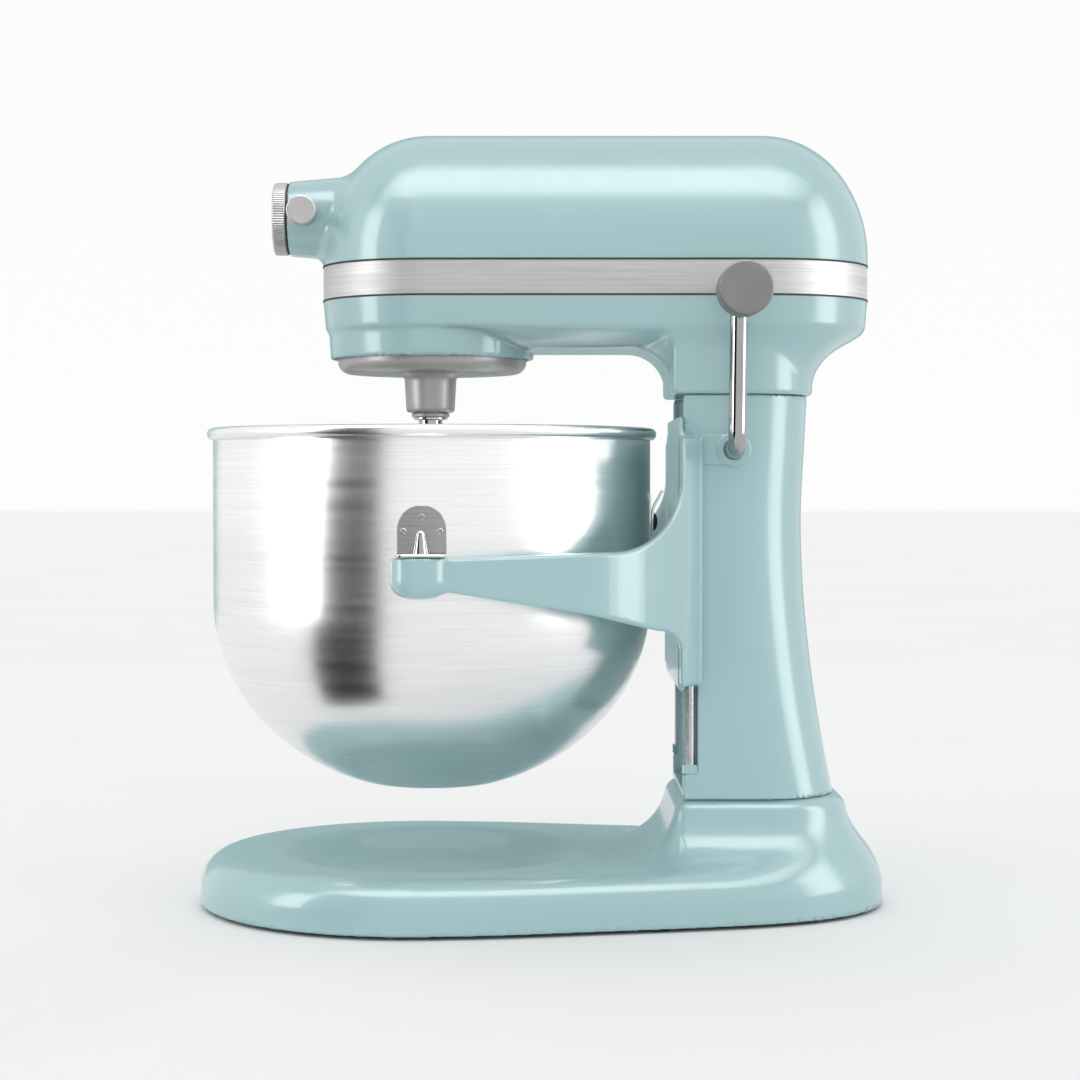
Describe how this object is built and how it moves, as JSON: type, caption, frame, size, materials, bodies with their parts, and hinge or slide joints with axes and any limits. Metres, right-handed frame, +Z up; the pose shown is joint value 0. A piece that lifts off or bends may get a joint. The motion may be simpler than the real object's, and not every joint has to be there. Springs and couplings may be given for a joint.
{
  "type": "stand mixer",
  "caption": "Bowl-lift stand mixer: steel bowl on a sliding two-armed carrier, lift lever, planetary beater drive, front attachment hub and geared motor in a rounded head on a column and base.",
  "frame": {"origin": "on the table plane, under the middle of the whole machine's box, which is also the middle of the base", "axes": "+Z up, -Y towards the head's nose and attachment hub, +X towards the bowl-lift lever"},
  "size_m": [0.286, 0.371, 0.4195],
  "materials": {
    "paint": "gloss pale aqua enamel",
    "brushed_band": "fine lengthwise brushing",
    "brushed_bowl": "horizontal brushing",
    "satin_steel": "satin",
    "bowl_handle_steel": "brushed",
    "chrome": "polished",
    "satin_knob": "satin grey",
    "planetary_grey": "satin grey",
    "gear_steel": "machined",
    "bronze": "sintered",
    "black_rubber": "matt",
    "screw_steel": "zinc plated",
    "copper": "enamelled wire",
    "laminated_steel": "stacked sheet",
    "cast_bracket": "as cast",
    "black_plastic": "fine grain"
  },
  "bodies": {
    "frame": {"base_casting": "paint", "rubber_feet": "black_rubber", "column_bolts": "screw_steel", "column_casting": "paint", "guide_rods": "chrome", "guide_rod_stops": "black_rubber", "lever_bushes": "bronze", "cord_grommet": "black_rubber", "neck_bolts": "screw_steel", "lower_gear_case": "paint", "upper_housing": "paint", "trim_band": "brushed_band", "hub_bush": "bronze", "centre_shaft_bearings": "gear_steel", "ring_gear": "gear_steel", "ring_gear_screws": "screw_steel", "gear_bracket": "cast_bracket", "gear_bracket_screws": "screw_steel", "field_core": "laminated_steel", "field_coils": "copper", "motor_rear_bracket": "cast_bracket", "motor_rods": "screw_steel", "brush_holders": "black_plastic", "carbon_brushes": "black_plastic", "control_board": "black_plastic"},
    "bowl_carrier": {"bowl_carrier": "paint", "locating_pins": "chrome", "lift_fork": "satin_steel", "lift_fork_screws": "screw_steel"},
    "bowl": {"bowl": "brushed_bowl", "bowl_brackets": "satin_steel", "bowl_rear_clip": "satin_steel", "bowl_clip_rivet": "screw_steel", "bowl_handle": "bowl_handle_steel"},
    "lift_lever": {"lift_lever_rod": "chrome", "lift_lever_knob": "satin_knob", "lift_crank": "satin_steel", "lift_crank_roller": "chrome"},
    "planetary": {"planetary_housing": "planetary_grey", "centre_shaft": "satin_steel", "large_bevel_gear": "gear_steel"},
    "beater_drive": {"planet_pinion": "gear_steel", "beater_shaft": "chrome", "beater_pin": "chrome", "beater_washers": "black_rubber"},
    "hub_drive": {"hub_drive_shaft": "satin_steel", "hub_bevel_pinion": "gear_steel"},
    "intermediate_gears": {"intermediate_shaft": "satin_steel", "drive_bevel_pinion": "gear_steel", "reduction_gear": "gear_steel"},
    "motor_rotor": {"motor_pinion": "gear_steel", "motor_shaft": "satin_steel", "armature_core": "laminated_steel", "armature_winding": "copper", "commutator": "copper", "cooling_fan": "black_plastic"},
    "hub_cap": {"hub_cap": "satin_knob"},
    "hub_knob": {"hub_knob": "satin_knob"},
    "speed_lever": {"speed_lever": "black_plastic"}
  },
  "joints": [
    {"name": "bowl_lift", "type": "slide", "parent": "frame", "child": "bowl_carrier", "axis": [0, 0, 1], "range_m": [-0.042, 0]},
    {"name": "bowl_off", "type": "slide", "parent": "bowl_carrier", "child": "bowl", "axis": [0, 0, 1], "range_m": [0, 0.014]},
    {"name": "lift_lever_turn", "type": "hinge", "parent": "frame", "child": "lift_lever", "pos_m": [0, 0.102, 0.247], "axis": [1, 0, 0], "range_deg": [-100.1, 0.1]},
    {"name": "planetary_spin", "type": "hinge", "parent": "frame", "child": "planetary", "pos_m": [0, -0.0588, 0.293], "axis": [0, 0, 1], "continuous": true},
    {"name": "beater_spin", "type": "hinge", "parent": "planetary", "child": "beater_drive", "pos_m": [0.0225, -0.0588, 0.293], "axis": [0, 0, 1], "continuous": true},
    {"name": "hub_drive_spin", "type": "hinge", "parent": "frame", "child": "hub_drive", "pos_m": [0, -0.105, 0.373], "axis": [0, 1, 0], "continuous": true},
    {"name": "intermediate_spin", "type": "hinge", "parent": "frame", "child": "intermediate_gears", "pos_m": [0, 0, 0.373], "axis": [0, 1, 0], "continuous": true},
    {"name": "motor_spin", "type": "hinge", "parent": "frame", "child": "motor_rotor", "pos_m": [0, 0.08, 0.34487], "axis": [0, 1, 0], "continuous": true},
    {"name": "hub_cap_pull", "type": "slide", "parent": "frame", "child": "hub_cap", "axis": [0, -1, 0], "range_m": [0, 0.06]},
    {"name": "hub_knob_turn", "type": "hinge", "parent": "frame", "child": "hub_knob", "pos_m": [0.03, -0.1267, 0.374], "axis": [1, 0, 0], "range_deg": [0, 1080]},
    {"name": "speed_lever_slide", "type": "slide", "parent": "frame", "child": "speed_lever", "axis": [0, 1, 0], "range_m": [0, 0.036]}
  ],
  "couplings": [
    {"joint": "lift_lever_turn", "follows": "bowl_lift", "rad_per_m": 41.555},
    {"joint": "beater_spin", "follows": "planetary_spin", "ratio": -2.6667},
    {"joint": "hub_drive_spin", "follows": "planetary_spin", "ratio": -3},
    {"joint": "intermediate_spin", "follows": "planetary_spin", "ratio": 3},
    {"joint": "motor_spin", "follows": "planetary_spin", "ratio": -10.5}
  ]
}
